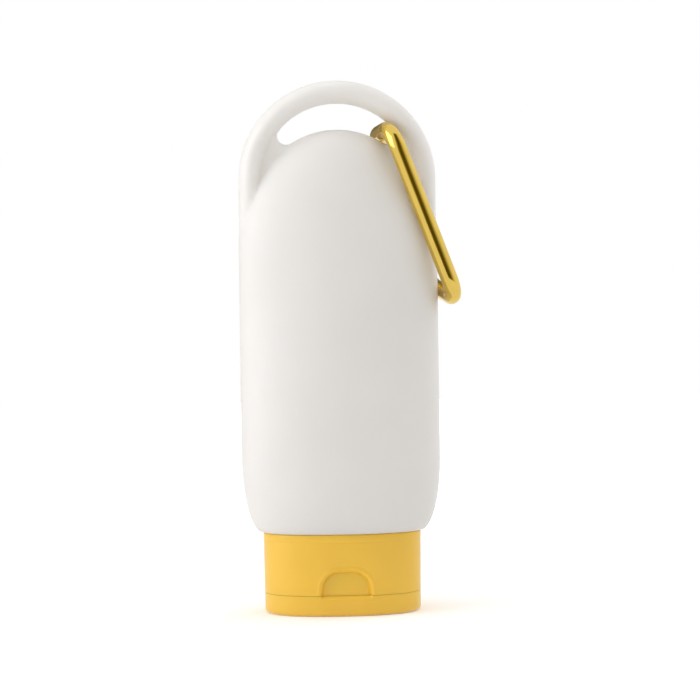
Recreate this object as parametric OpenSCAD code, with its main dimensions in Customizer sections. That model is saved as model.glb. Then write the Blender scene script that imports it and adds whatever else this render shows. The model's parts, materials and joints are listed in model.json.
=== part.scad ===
// Travel-size sunscreen bottle that stands on its flip-top cap, with a moulded hanging loop
// and a small pear-shaped carabiner clipped through the loop.
// Millimetres, +Z up, the bottle's front faces -Y.
// The origin is the middle of the flat face of the closed lid, on the bottle's axis.

/* [Bottle body] */
// Greatest width of the body
body_w = 42; // [38:0.5:46]
// Depth of the body near the foot, where it is deepest
body_d = 25.6; // [24:0.2:28]
// Width of the body's lower face, which sits on the cap
foot_w = 34.7; // [33.8:0.1:36]
// Depth of the body's lower face
foot_d = 23.6; // [23:0.1:24.4]
// Height of the rounded corner between the foot and the body's side
foot_round_h = 16; // [10:1:20]
// Height of the body from its lower face to where the dome starts
body_h = 59; // [50:1:70]
// Height of the dome
dome_h = 25.7; // [22:0.1:28]
// Thickness of the blow-moulded wall
wall = 1.2; // [0.8:0.1:1.6]

/* [Hanging loop] */
// Thickness of the loop's band, measured along the arch's radius
band_t = 4.8; // [4:0.1:5.4]
// Depth of the loop's band, front to back
band_d = 7.4; // [6.4:0.1:8.4]
// Height of the hole between the top of the dome and the band
hole_h = 5.35; // [5.2:0.05:6.4]
// Radius of the hole's two ends
hole_end_r = 1.9; // [1.4:0.1:2]
// Thickness of the web that joins the band to the dome below the hole
web_t = 4.2; // [3.4:0.1:5]

/* [Neck] */
// Outer diameter of the neck
neck_d = 17; // [15:0.5:17]
// Wall of the neck
neck_wall = 1.4; // [1:0.1:2]
// Height that the snap bead stands out from the neck
bead_h = 0.4; // [0.2:0.05:0.5]
// Thickness of the sealing gasket on the neck's rim
gasket_t = 1; // [0.6:0.1:1.4]

/* [Cap base] */
// Width of the oval cap
cap_w = 33.2; // [32:0.1:34]
// Depth of the oval cap
cap_d = 22.5; // [22:0.1:23.4]
// Height of the cap base, from its parting line to its rim
cap_h = 12.5; // [12.2:0.1:14]
// Squareness of the oval outline, where 2 is an ellipse
oval_power = 2.35; // [2:0.05:2.6]
// Amount by which the cap is narrower at its parting line than at its rim, on each side
cap_draft = 0.15; // [0:0.05:0.3]
// Wall of the cap
cap_wall = 1.3; // [1:0.1:1.5]
// Thickness of the deck that carries the spout
deck_t = 1.6; // [1.2:0.1:2]
// Wall of the round collar that snaps on the neck
collar_wall = 1; // [0.8:0.1:1.2]
// Diameter of the spout
spout_d = 7; // [6:0.5:9]
// Length of the spout below the deck
spout_h = 1.4; // [1:0.1:1.8]
// Diameter of the orifice
orifice_d = 4.4; // [4.2:0.1:5]
// Width of the thumb recess at the parting line
recess_w = 10.6; // [9:0.2:13]
// Height of the thumb recess above the parting line
recess_h = 5; // [4.5:0.1:6]
// Amount by which the thumb recess narrows on each side towards its top
recess_flare = 0.8; // [0:0.1:1.2]
// Radius of the thumb recess's two upper corners
recess_r = 3; // [1.5:0.1:3.5]
// Depth of the thumb recess
recess_depth = 0.9; // [0.6:0.1:1]
// Thickness of the ribs that tie the collar to the oval skirt
rib_t = 0.9; // [0.7:0.1:1.2]

/* [Lid] */
// Height of the closed lid
lid_h = 4.25; // [3.8:0.05:4.8]
// Thickness of the lid's floor
lid_floor = 1.3; // [1:0.1:1.4]
// Radius of the lid's outer edge
lid_edge_r = 1; // [0.6:0.1:1]
// Length of the plug pin that goes into the orifice
plug_h = 3.7; // [3.2:0.1:4]
// Height of the seal ring that goes round the spout
seal_ring_h = 2.2; // [1.9:0.1:2.4]
// Wall of the seal ring
seal_ring_wall = 0.8; // [0.6:0.1:1]
// Diameter of the film hinge's strip
hinge_d = 0.9; // [0.7:0.05:1]
// Length of the film hinge's strip
hinge_w = 10; // [7:0.5:12]

/* [Carabiner] */
// Diameter of the wire
wire_d = 3.6; // [3.2:0.1:3.7]
// Overall length of the carabiner
carabiner_l = 41; // [39:0.2:44]
// Distance from the widest part of the gate side to the middle of the bottle's loop
gate_off = 13; // [12.6:0.1:14]
// Distance by which the gate side is narrower at its top than at its foot
gate_inset = 3.2; // [2.5:0.1:4]
// Radius of the upper bend next to the spine, at the wire's centre
spine_bend_r = 5; // [4:0.1:5]
// Radius of the lower bend next to the spine, at the wire's centre
foot_bend_r = 4; // [3.5:0.1:5]
// Angle at which the lower end rises from the spine to the gate side
foot_rise = 12; // [0:1:12]
// Radius of the upper bend next to the gate, at the wire's centre
top_bend_r = 6; // [5:0.1:7]
// Radius of the lower bend next to the gate, at the wire's centre
low_bend_r = 7.5; // [6.5:0.1:8.5]
// Angle round the dome at which the carabiner hangs, from the top
hang_angle = 25; // [15:0.5:25]
// Angle by which the carabiner is turned about the upright axis
twist = 6; // [0:0.5:8]

/* [Gate] */
// Diameter of the gate
gate_d = 3.5; // [3:0.1:3.6]
// Length of the frame's straight stub between its upper bend and the gate
stub_l = 0.8; // [0.4:0.1:1.5]
// Diameter of the hinge rivet
rivet_d = 1.2; // [1:0.1:1.4]
// Diameter of the catch pin
catch_d = 1; // [0.8:0.1:1.2]
// Thickness of the frame's flat tang and nose
tongue_t = 1.2; // [1:0.1:1.3]
// Depth of the slot at the nose end of the gate
nose_slot = 3.4; // [3:0.1:4]
// Diameter of the bore that holds the spring
spring_bore_d = 2.1; // [1.9:0.1:2.2]
// Depth of that bore, measured from the rivet
spring_bore_l = 11.5; // [10:0.5:12]
// Diameter of the spring's wire
spring_wire = 0.3; // [0.26:0.02:0.34]
// Distance between the spring's turns
spring_pitch = 0.76; // [0.74:0.02:1]
// Diameter of the plunger's tip
plunger_d = 1.2; // [1:0.1:1.3]
// Length of the plunger's tip
plunger_tip = 2; // [1.6:0.1:2.6]

/* [Fits] */
// Gap between the bottle and the rim of the cap
seat_gap = 0.15; // [0.05:0.05:0.3]
// Gap between the closed lid and the cap base
parting_gap = 0.1; // [0.06:0.02:0.2]
// Radial gap of each hinge and pin that turns
running_gap = 0.05; // [0.02:0.01:0.1]
// Gap round the parts of the lid that plug into the base
plug_gap = 0.12; // [0.08:0.02:0.2]
// Gap between the wire and the dome that it hangs on
hang_gap = 0.15; // [0.1:0.05:0.3]
// Gap between the carabiner's lower end and the bottle's side, where it comes to rest
side_gap = 0.45; // [0.4:0.05:1]
// Gap between the spine and the bottle, measured straight back from the spine
spine_gap = 0.85; // [0.8:0.05:1.5]
// Gap at each side of the tongues in the gate's slots
slot_gap = 0.1; // [0.05:0.01:0.15]
// Gap at each end of the gate
gate_end_gap = 0.25; // [0.2:0.05:0.4]
// Free travel left for the plunger before it meets the spring
spring_gap = 0.3; // [0.28:0.02:0.4]

/* [Hidden] */
eps = 0.01;
$fn = 48;

white = [0.93, 0.92, 0.91];
yellow = [0.94, 0.74, 0.30];
gold = [0.86, 0.70, 0.28];
steel = [0.70, 0.70, 0.72];
foam = [0.97, 0.97, 0.95];

// Heights up the axis
base_z = lid_h + parting_gap;
rim_z = base_z + cap_h;
foot_z = rim_z + seat_gap;
shoulder_z = foot_z + body_h;
dome_top = shoulder_z + dome_h;

// Side outline of the body: an elliptical corner at the foot, a faint barrel, an elliptical dome.
side_w = body_w / 2;
foot_corner = side_w - foot_w / 2;
corner_power = 2.1;
function quarter(u, p) = pow(max(0, 1 - pow(max(0, min(1, u)), p)), 1 / p);
function foot_u(z) = 1 - (z - foot_z) / foot_round_h;
corner_low = quarter(0.975, corner_power);
function half_w(z) =
    z < foot_z + foot_round_h ? side_w - foot_corner * (1 - quarter(0.975 * foot_u(z), corner_power))
        / (1 - corner_low)
    : z < shoulder_z ? side_w
    : side_w * quarter((z - shoulder_z) / dome_h, 2);

// Front outline of the body, seen from the side: deepest above the foot, then one even curve to the top.
depth_power = 2.4;
function half_d(z) =
    z < foot_z + foot_round_h ? body_d / 2 - (body_d - foot_d) / 2
        * (1 - quarter(0.975 * foot_u(z), corner_power)) / (1 - corner_low)
    : body_d / 2 * quarter((z - foot_z - foot_round_h) / (dome_top - foot_z - foot_round_h), depth_power);

// Outline of a section: squarer at the foot, where it meets the cap, and an ellipse higher up.
function section_power(z) = oval_power - (oval_power - 2) * min(1, (z - foot_z) / (body_h * 0.7));
function signed_power(v, p) = sign(v) * pow(abs(v), p);
function oval(w, d, p, count) = [
    for (i = [0 : count - 1])
    let (a = 360 * i / count)
    [w * signed_power(cos(a), 2 / p), d * signed_power(sin(a), 2 / p)]
];

// Rings of the body, from the foot up to just below the top of the dome.
section_points = 48;
foot_rings = 6;
side_rings = 7;
dome_rings = 9;
ring_z = concat(
    [for (i = [0 : foot_rings - 1]) foot_z + foot_round_h * (1 - cos(90 * i / foot_rings))],
    [for (i = [0 : side_rings - 1]) foot_z + foot_round_h + (body_h - foot_round_h) * i / side_rings],
    [for (i = [0 : dome_rings - 1]) shoulder_z + dome_h * sin(84 * i / (dome_rings - 1))]
);

// Band of the hanging loop
arch_steps = 28;
band_points = 18;
band_out_r = side_w - 0.15;
band_in_r = band_out_r - band_t;
band_mid_r = band_out_r - band_t / 2;
loop_z = dome_top + hole_h - band_in_r;
leg_h = loop_z - shoulder_z;

// Inside of the cap
neck_r = neck_d / 2;
neck_end_z = base_z + deck_t + gasket_t;
neck_h = foot_z - neck_end_z;
collar_in_r = neck_r + plug_gap;
collar_out_r = collar_in_r + collar_wall;
deck_z = neck_end_z - gasket_t;
bead_z = neck_end_z + 2.2;
spout_z = base_z - spout_h;
orifice_r = orifice_d / 2;
hinge_y = cap_d / 2 - cap_draft + 0.05;
hinge_z = lid_h + parting_gap / 2;
hinge_r = hinge_d / 2;

wire_r = wire_d / 2;
wire_sides = 24;
wire_l = carabiner_l - wire_d;

// Place of the wire in the hole: seated on the dome, hang_angle away from its top.
seat = [side_w * sin(hang_angle), shoulder_z + dome_h * cos(hang_angle)];
seat_slope = [sin(hang_angle) / side_w, cos(hang_angle) / dome_h];
hang = seat + (wire_r + hang_gap) * seat_slope / norm(seat_slope);

// Lean that brings the lower end against the bottle's side
lean = asin((side_w + wire_r + side_gap - hang[0]) / wire_l);

// The spine passes in front of the skin's deepest point on its way down.
function skin_d(x, z) =
    let (p = section_power(z))
    half_d(z) * pow(max(0, 1 - pow(min(1, x / half_w(z)), p)), 1 / p);
spine_off = wire_r + spine_gap + max([
    for (t = [5 : 1 : 35]) skin_d(hang[0] + t * sin(lean), hang[1] - t * cos(lean))
]);

// Wire of the carabiner. Its own plane has X across, from the spine to the gate, and Y down its length.
gate_r = gate_d / 2;
top_centre = [gate_off - gate_inset - top_bend_r, top_bend_r];
foot_centre = [foot_bend_r - spine_off, wire_l - foot_bend_r];
low_x = gate_off - low_bend_r;
foot_run = (low_x - foot_centre[0] + (low_bend_r - foot_bend_r) * sin(foot_rise)) / cos(foot_rise);
low_y = foot_centre[1] - (low_bend_r - foot_bend_r) * cos(foot_rise) - foot_run * sin(foot_rise);
low_centre = [low_x, low_y];
centres = low_centre - top_centre;
bend_step = low_bend_r - top_bend_r;
gate_lean = asin(bend_step / norm(centres)) + atan(centres[0] / centres[1]);
gate_top = top_centre + top_bend_r * [cos(gate_lean), -sin(gate_lean)];
gate_low = low_centre + low_bend_r * [cos(gate_lean), -sin(gate_lean)];
tang_l = gate_r + 0.35;
nose_stub = 0.5;
rivet_at = gate_top + (stub_l + tang_l) * [sin(gate_lean), cos(gate_lean)];
shoulder_at = norm(gate_low - gate_top) - stub_l - tang_l - nose_stub;
gate_l = shoulder_at - gate_end_gap;
catch_at = gate_l - nose_slot / 2 + 0.1;

// Tang and plunger, measured along the gate from the rivet
tang_r = gate_r - 0.15;
tang_flat = tang_r * 0.81;
slot_end = tang_r + 0.35;
plunger_z = tang_flat + running_gap;
collar_l = 0.8;
spigot_l = 1.2;
spring_z = plunger_z + plunger_tip + collar_l + spring_gap;
spring_mean_r = spring_bore_d / 2 - running_gap - spring_wire / 2;
spring_l = spring_bore_l - spring_z - running_gap;
spring_turns = floor((spring_l - spring_wire) / spring_pitch * 8) / 8;
echo(spring_turn_gap = spring_pitch - spring_wire);

// Closed solid through rings of points; the first ring's points run anticlockwise round the way they go.
module loft(rings) {
    count = len(rings[0]);
    last = len(rings) - 1;
    polyhedron([for (ring = rings) each ring], concat(
        [[for (i = [0 : count - 1]) i]],
        [for (k = [0 : last - 1], i = [0 : count - 1])
            let (j = (i + 1) % count)
            [k * count + i, (k + 1) * count + i, (k + 1) * count + j]],
        [for (k = [0 : last - 1], i = [0 : count - 1])
            let (j = (i + 1) % count)
            [k * count + i, (k + 1) * count + j, k * count + j]],
        [[for (i = [count - 1 : -1 : 0]) last * count + i]]
    ), convexity = 6);
}

function body_ring(z, w_scale, d_scale, at_z) = [
    for (p = oval(half_w(z) * w_scale, half_d(z) * d_scale, section_power(z), section_points))
    [p[0], p[1], at_z]
];

module body_skin() {
    loft([for (z = ring_z) body_ring(z, 1, 1, z)]);
}

// The cavity is the body's own shape, smaller by the wall on every side.
module cavity() {
    w_scale = 1 - wall / side_w;
    d_scale = 1 - 2 * wall / body_d;
    floor_z = foot_z + wall;
    low = foot_z + foot_round_h;
    squeeze = (dome_top - 1.5 * wall - low) / (dome_top - low);
    loft([
        for (z = ring_z)
        body_ring(z, w_scale, d_scale,
            z < low ? floor_z + (z - foot_z) * (low - floor_z) / (low - foot_z) : low + (z - low) * squeeze)
    ]);
}

// Ring of the loop's band at an angle a of the arch, dropped down its leg by drop
function band_ring(a, drop, depth) = [
    for (b = [0 : 360 / band_points : 359])
    let (r = band_mid_r - band_t / 2 * cos(b))
    [r * cos(a), depth / 2 * sin(b), loop_z + r * sin(a) - drop]
];

module loop_band() {
    loft(concat(
        [for (u = [1, 0.7, 0.35]) band_ring(180, leg_h * u, band_d * (1 - 0.5 * u))],
        [for (i = [0 : arch_steps]) band_ring(180 - 180 * i / arch_steps, 0, band_d)],
        [for (u = [0.35, 0.7, 1]) band_ring(0, leg_h * u, band_d * (1 - 0.5 * u))]
    ));
}

// Outline of the hole, in X and Z: inside the arch, above the dome, with round ends
module hole_outline() {
    offset(r = hole_end_r) offset(delta = -hole_end_r)
    difference() {
        translate([0, loop_z]) circle(r = band_in_r, $fn = 96);
        translate([0, shoulder_z]) scale([side_w - 0.2, dome_h - 0.2]) circle(r = 1, $fn = 96);
        translate([-side_w, shoulder_z - body_h]) square([body_w, body_h + dome_h / 2]);
    }
}

// Web that fills the corners below the hole, between the dome and the band
module loop_web() {
    rotate([90, 0, 0])
    linear_extrude(web_t, center = true)
    difference() {
        union() {
            translate([0, loop_z]) circle(r = band_mid_r, $fn = 72);
            translate([-band_mid_r, shoulder_z]) square([2 * band_mid_r, leg_h]);
        }
        translate([-side_w, dome_top]) square(body_w);
        hole_outline();
    }
}

module bottle_shell() {
    color(white)
    difference() {
        union() {
            body_skin();
            loop_band();
            loop_web();
            translate([0, 0, neck_end_z]) cylinder(r = neck_r, h = neck_h + wall / 2);
            translate([0, 0, bead_z - bead_h]) cylinder(r1 = neck_r, r2 = neck_r + bead_h, h = bead_h);
            translate([0, 0, bead_z]) cylinder(r1 = neck_r + bead_h, r2 = neck_r, h = 2 * bead_h);
        }
        cavity();
        translate([0, 0, neck_end_z - 1]) cylinder(r = neck_r - neck_wall, h = neck_h + 1 + 2 * wall);
    }
}

module neck_gasket() {
    color(foam)
    translate([0, 0, deck_z])
    difference() {
        cylinder(r = neck_r, h = gasket_t);
        translate([0, 0, -1]) cylinder(r = neck_r - neck_wall, h = gasket_t + 2);
    }
}

// Ring of the cap's oval at a height, drawn in by inset on every side
oval_points = 80;
function cap_ring(z, inset) = [
    for (p = oval(cap_w / 2 - inset, cap_d / 2 - inset, oval_power, oval_points)) [p[0], p[1], z]
];

// Straight-sided oval block, for the hollows and the rims
module oval_block(z, h, inset) {
    translate([0, 0, z])
    linear_extrude(h)
    polygon(oval(cap_w / 2 - inset, cap_d / 2 - inset, oval_power, oval_points));
}

module cap_outside() {
    rim_r = 0.35;
    loft([
        cap_ring(base_z, cap_draft + 0.12),
        cap_ring(base_z + 0.12, cap_draft),
        cap_ring(rim_z - rim_r, 0),
        cap_ring(rim_z - rim_r * 0.3, rim_r * 0.3),
        cap_ring(rim_z, rim_r)
    ]);
}

// Thumb recess above the parting line, as an outline in X and Z
module recess_outline() {
    translate([0, base_z])
    offset(r = recess_r) offset(delta = -recess_r)
    polygon([
        [-recess_w / 2 + recess_flare, recess_h], [recess_w / 2 - recess_flare, recess_h],
        [recess_w / 2 + recess_flare, -recess_h], [-recess_w / 2 - recess_flare, -recess_h]
    ]);
}

module thumb_recess() {
    front = cap_d / 2 - recess_depth;
    translate([0, -front, 0])
    rotate([90, 0, 0])
    linear_extrude(recess_depth + 1)
    recess_outline();
}

module neck_collar() {
    collar_top = neck_end_z + neck_h * 0.7;
    snap_z = bead_z + 2.5 * bead_h;
    difference() {
        translate([0, 0, deck_z - eps]) cylinder(r = collar_out_r, h = collar_top - deck_z + eps);
        translate([0, 0, deck_z]) cylinder(r = collar_in_r, h = collar_top);
        translate([0, 0, bead_z - 2 * bead_h])
        cylinder(r = collar_in_r + bead_h, h = snap_z - bead_z + 2 * bead_h);
    }
}

// Hollow for the film hinge's strip, at the back of the parting line
module hinge_groove(gap) {
    translate([0, hinge_y, hinge_z])
    rotate([0, 90, 0])
    cylinder(r = hinge_r + gap, h = hinge_w + 0.6, center = true);
}

module cap_base() {
    skirt_in = cap_draft + cap_wall;
    color(yellow)
    difference() {
        union() {
            difference() {
                cap_outside();
                oval_block(deck_z, cap_h, skirt_in);
            }
            neck_collar();
            intersection() {
                oval_block(deck_z - eps, neck_h * 0.6, skirt_in - eps);
                difference() {
                    for (side = [-1, 1])
                        translate([-cap_w / 2, side * neck_r / 2 - rib_t / 2, deck_z - eps])
                        cube([cap_w, rib_t, neck_h * 0.55]);
                    translate([0, 0, deck_z - 1]) cylinder(r = neck_r + plug_gap + collar_wall / 2, h = neck_h);
                }
            }
            intersection() {
                oval_block(deck_z - eps, recess_h + 1.2, skirt_in - eps);
                translate([-recess_w / 2 - 1, -cap_d / 2, deck_z - eps])
                cube([recess_w + 2, cap_wall + 1, recess_h + 1]);
            }
            difference() {
                oval_block(base_z - 0.8, 1, skirt_in + plug_gap);
                oval_block(base_z - 1, 1.4, skirt_in + plug_gap + 0.9);
            }
            translate([0, 0, spout_z]) cylinder(r = spout_d / 2, h = spout_h + eps);
        }
        translate([0, 0, spout_z - 1]) cylinder(r = orifice_r, h = deck_z - spout_z + 2);
        thumb_recess();
        hinge_groove(eps);
        translate([0, 0, deck_z]) cylinder(r = neck_r + plug_gap, h = neck_h * 0.3);
    }
}

module cap_hinge_strip() {
    color(yellow)
    translate([0, hinge_y, hinge_z])
    rotate([0, 90, 0])
    cylinder(r = hinge_r, h = hinge_w, center = true);
}

module lid_outside() {
    inset = cap_draft;
    loft([
        for (a = [0 : 22.5 : 90]) cap_ring(lid_edge_r * (1 - cos(a)), inset + lid_edge_r * (1 - sin(a))),
        cap_ring(lid_h - 0.12, inset),
        cap_ring(lid_h, inset + 0.12)
    ]);
}

module cap_lid() {
    plug_r = orifice_r - plug_gap;
    ring_in = spout_d / 2 + plug_gap;
    color(yellow)
    difference() {
        union() {
            difference() {
                lid_outside();
                oval_block(lid_floor, lid_h, cap_draft + cap_wall);
            }
            translate([0, 0, lid_floor - eps]) cylinder(r = plug_r, h = plug_h - 0.4 + eps);
            translate([0, 0, lid_floor + plug_h - 0.4]) cylinder(r1 = plug_r, r2 = plug_r - 0.35, h = 0.4);
            difference() {
                translate([0, 0, lid_floor - eps]) cylinder(r = ring_in + seal_ring_wall, h = seal_ring_h);
                translate([0, 0, lid_floor]) cylinder(r = ring_in, h = seal_ring_h + 1);
            }
        }
        hinge_groove(running_gap);
    }
}

// Places the carabiner, drawn flat in its own plane, in the hole of the loop.
module hang_carabiner() {
    translate([hang[0], 0, hang[1]])
    rotate([0, 0, twist])
    rotate([0, -lean, 0])
    rotate([-90, 0, 90])
    children();
}

// Ring of the wire at an angle of one of its bends, moved along by shift
function wire_ring(centre, bend_r, angle, shift = [0, 0]) = [
    for (b = [0 : 360 / wire_sides : 359])
    let (r = bend_r + wire_r * cos(b))
    [centre[0] + r * cos(angle) + shift[0], centre[1] + r * sin(angle) + shift[1], wire_r * sin(b)]
];

// Rings round a bend, from one angle through a turn
function bend_rings(centre, bend_r, start, turn) =
    let (steps = ceil(abs(turn) / 10))
    [for (i = [0 : steps]) wire_ring(centre, bend_r, start + turn * i / steps)];

// The frame's wire, from the stub above the gate round to the stub below it
module frame_wire() {
    along = [sin(gate_lean), cos(gate_lean)];
    loft(concat(
        [wire_ring(top_centre, top_bend_r, -gate_lean, stub_l * along)],
        bend_rings(top_centre, top_bend_r, -gate_lean, gate_lean - 90),
        bend_rings([spine_bend_r - spine_off, spine_bend_r], spine_bend_r, 270, -90),
        bend_rings(foot_centre, foot_bend_r, 180, -90 - foot_rise),
        bend_rings(low_centre, low_bend_r, 90 - foot_rise, foot_rise - 90 - gate_lean),
        [wire_ring(low_centre, low_bend_r, -gate_lean, -nose_stub * along)]
    ));
}

// Draws what follows with X along the gate, away from the rivet, and Y towards the gate's outer side.
module at_gate() {
    translate([rivet_at[0], rivet_at[1], 0])
    rotate([0, 0, 90 - gate_lean])
    mirror([0, 1, 0])
    children();
}

module tang() {
    translate([0, 0, -tongue_t / 2])
    linear_extrude(tongue_t)
    intersection() {
        union() {
            translate([-tang_l - 0.2, -tang_r]) square([tang_l + 0.2, 2 * tang_r]);
            circle(r = tang_r);
        }
        translate([-tang_l - 1, -tang_r]) square([tang_l + 1 + tang_flat, 2 * tang_r]);
    }
}

// Flat nose with a notch, open towards the spine, that holds the catch pin
module nose() {
    nose_l = nose_slot - 0.5;
    notch_w = catch_d + 2 * (slot_gap + 0.02);
    translate([0, 0, -tongue_t / 2])
    linear_extrude(tongue_t)
    difference() {
        translate([gate_l - nose_l, -tang_r]) square([nose_l + gate_end_gap + 0.2, 2 * tang_r]);
        translate([catch_at - notch_w / 2, -tang_r - 1]) square([notch_w, tang_r + 1]);
        translate([catch_at, 0]) circle(d = notch_w);
    }
}

module carabiner_frame() {
    color(gold)
    hang_carabiner()
    difference() {
        union() {
            frame_wire();
            at_gate() tang();
            at_gate() nose();
        }
        at_gate() cylinder(r = rivet_d / 2 + running_gap, h = wire_d, center = true);
    }
}

module carabiner_gate() {
    slot_w = tongue_t + 2 * slot_gap;
    color(gold)
    hang_carabiner()
    at_gate()
    difference() {
        intersection() {
            translate([-gate_r, 0, 0]) rotate([0, 90, 0]) cylinder(r = gate_r, h = gate_l + gate_r);
            linear_extrude(2 * gate_d, center = true) union() {
                circle(r = gate_r);
                translate([0, -gate_r]) square([gate_l, 2 * gate_r]);
            }
        }
        translate([-gate_d, -gate_d, -slot_w / 2]) cube([gate_d + slot_end, 2 * gate_d, slot_w]);
        translate([gate_l - nose_slot, -gate_d, -slot_w / 2]) cube([nose_slot + 1, 2 * gate_d, slot_w]);
        translate([slot_end - 0.1, 0, 0]) rotate([0, 90, 0])
        cylinder(r = spring_bore_d / 2, h = spring_bore_l - slot_end + 0.1);
        cylinder(r = rivet_d / 2 + eps, h = 2 * gate_d, center = true);
        translate([catch_at, 0, 0]) cylinder(r = catch_d / 2 + eps, h = 2 * gate_d, center = true);
    }
}

module gate_rivet() {
    color(gold)
    hang_carabiner()
    at_gate()
    cylinder(r = rivet_d / 2, h = gate_d + 0.1, center = true);
}

module gate_catch_pin() {
    color(steel)
    hang_carabiner()
    at_gate()
    translate([catch_at, 0, 0])
    cylinder(r = catch_d / 2, h = gate_d - 0.1, center = true);
}

// Helical wire of the gate spring, drawn along X: rings of 6 sides, 8 to a turn
module gate_spring() {
    per_turn = 8;
    sides = 6;
    steps = round(spring_turns * per_turn);
    wire = spring_wire / 2;
    rise = spring_pitch / per_turn;
    rings = [
        for (k = [0 : steps])
        let (a = 360 * k / per_turn)
        [for (i = [0 : sides - 1])
            let (b = 360 * i / sides, r = spring_mean_r + wire * cos(b))
            [spring_z + wire + rise * k - wire * sin(b), r * cos(a), r * sin(a)]]
    ];
    color(steel)
    hang_carabiner()
    at_gate()
    polyhedron(concat([for (ring = rings) each ring]), concat(
        [[for (i = [0 : sides - 1]) i]],
        [for (k = [0 : steps - 1], i = [0 : sides - 1])
            let (j = (i + 1) % sides, a = k * sides, b = (k + 1) * sides)
            [a + i, b + i, b + j, a + j]],
        [[for (i = [sides - 1 : -1 : 0]) steps * sides + i]]
    ), convexity = 10);
}

module gate_plunger() {
    collar_r = spring_bore_d / 2 - running_gap;
    color(steel)
    hang_carabiner()
    at_gate()
    translate([plunger_z, 0, 0])
    rotate([0, 90, 0])
    union() {
        cylinder(r = plunger_d / 2, h = plunger_tip + eps);
        translate([0, 0, plunger_tip]) cylinder(r = collar_r, h = collar_l);
        translate([0, 0, plunger_tip + collar_l - eps])
        cylinder(r = spring_mean_r - spring_wire / 2 - running_gap, h = spigot_l);
    }
}

bottle_shell();
neck_gasket();
cap_base();
cap_hinge_strip();
cap_lid();
carabiner_frame();
carabiner_gate();
gate_rivet();
gate_catch_pin();
gate_spring();
gate_plunger();
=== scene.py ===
"""A sunscreen bottle that stands on its flip-top cap, with a carabiner in its hanging loop.

Shapes are written in millimetres and turned into metres when a mesh is made. The studio's
lamps and cards are written in metres.
"""
import json
import math

import bmesh
import bpy
import numpy as np
from mathutils import Matrix, Vector


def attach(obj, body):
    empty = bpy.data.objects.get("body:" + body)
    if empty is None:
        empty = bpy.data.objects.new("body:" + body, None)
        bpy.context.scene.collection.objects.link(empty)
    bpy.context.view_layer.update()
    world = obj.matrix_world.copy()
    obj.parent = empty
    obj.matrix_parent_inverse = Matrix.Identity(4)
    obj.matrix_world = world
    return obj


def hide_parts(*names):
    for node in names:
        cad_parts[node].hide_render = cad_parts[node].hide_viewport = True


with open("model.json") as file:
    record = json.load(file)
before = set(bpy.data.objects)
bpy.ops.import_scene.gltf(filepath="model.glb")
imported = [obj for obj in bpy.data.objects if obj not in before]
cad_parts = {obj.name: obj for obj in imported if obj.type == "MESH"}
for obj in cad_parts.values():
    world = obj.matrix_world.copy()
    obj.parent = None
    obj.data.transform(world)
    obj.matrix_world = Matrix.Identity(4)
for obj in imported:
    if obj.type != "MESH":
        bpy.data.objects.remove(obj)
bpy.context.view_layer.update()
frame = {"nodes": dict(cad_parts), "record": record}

MM = 0.001

# Bottle
BODY_W, BODY_D = 42.0, 25.6
FOOT_W, FOOT_D, FOOT_ROUND = 34.7, 23.6, 16.0
FOOT_Z, SHOULDER_Z, DOME_TOP = 17.0, 76.0, 101.4
DOME_H = DOME_TOP - SHOULDER_Z
CORNER_POWER, CORNER_END, DOME_POWER, DEPTH_POWER = 2.1, 0.975, 2, 2.4
NECK_R, NECK_BORE, NECK_END, BORE_TOP = 8.5, 7.1, 6.95, 24.0

# Hanging loop, and the web that closes it to the dome
BAND_T, BAND_D = 4.8, 7.4
BAND_OUT = BODY_W / 2 - 0.15
BAND_IN, BAND_MID = BAND_OUT - BAND_T, BAND_OUT - BAND_T / 2
HOLE_H, HOLE_END_R = 5.65, 1.9
LOOP_Z = DOME_TOP + HOLE_H - BAND_IN
WEB_T, WEB_FADE, WEB_FOOT = 4.2, 1.2, 4.0

# Radii of the soft corners between the bottle's forms
FOOT_SOFT, BAND_SOFT, WEB_SOFT, WEB_EDGE_SOFT, NECK_SOFT = 0.3, 0.45, 0.35, 1.0, 0.3

# Cap
CAP_W, CAP_D, OVAL_POWER, DRAFT, WALL = 33.2, 22.5, 2.35, 0.15, 1.3
LID_H, BASE_Z, RIM_Z, DECK_TOP = 4.25, 4.29, 16.95, 5.95
SPOUT_R, SPOUT_H, ORIFICE_R, PLUG_GAP = 3.5, 1.4, 2.2, 0.12
LIP_T, LIP_H = 0.9, 0.8
LID_FLOOR, LID_EDGE, SEAL_H, SEAL_WALL, PLUG_H = 1.3, 1.0, 2.2, 0.8, 3.7
RECESS_W, RECESS_H, RECESS_FLARE, RECESS_R, RECESS_DEPTH = 10.6, 5.0, 0.8, 3.0, 0.9
HINGE_Y, HINGE_Z, HINGE_R, HINGE_W, HINGE_GAP = 11.15, 4.3, 0.45, 10.0, 0.05

# Carabiner
WIRE_R, WIRE_L = 1.8, 37.4
SPINE_BEND, FOOT_BEND, TOP_BEND, LOW_BEND = 5.0, 4.0, 6.0, 7.5
GATE_OFF, GATE_INSET, FOOT_RISE = 13.0, 3.2, math.radians(12)
STUB, NOSE_STUB, TANG_L, TANG_R, TONGUE, GATE_END_GAP = 0.8, 0.5, 2.1, 1.6, 1.2, 0.25
TANG_FLAT = 0.81 * TANG_R
NOSE_SLOT, NOTCH_W, TONGUE_SUNK = 3.4, 1.24, 0.2


def node_object(name, points, faces, smooth=True):
    """A mesh object from points in millimetres."""
    mesh = bpy.data.meshes.new(name)
    mesh.from_pydata([tuple(p) for p in np.asarray(points) * MM], [], [tuple(f) for f in faces])
    mesh.validate()
    mesh.update()
    for polygon in mesh.polygons:
        polygon.use_smooth = smooth
    obj = bpy.data.objects.new(name, mesh)
    bpy.context.scene.collection.objects.link(obj)
    return obj


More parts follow.
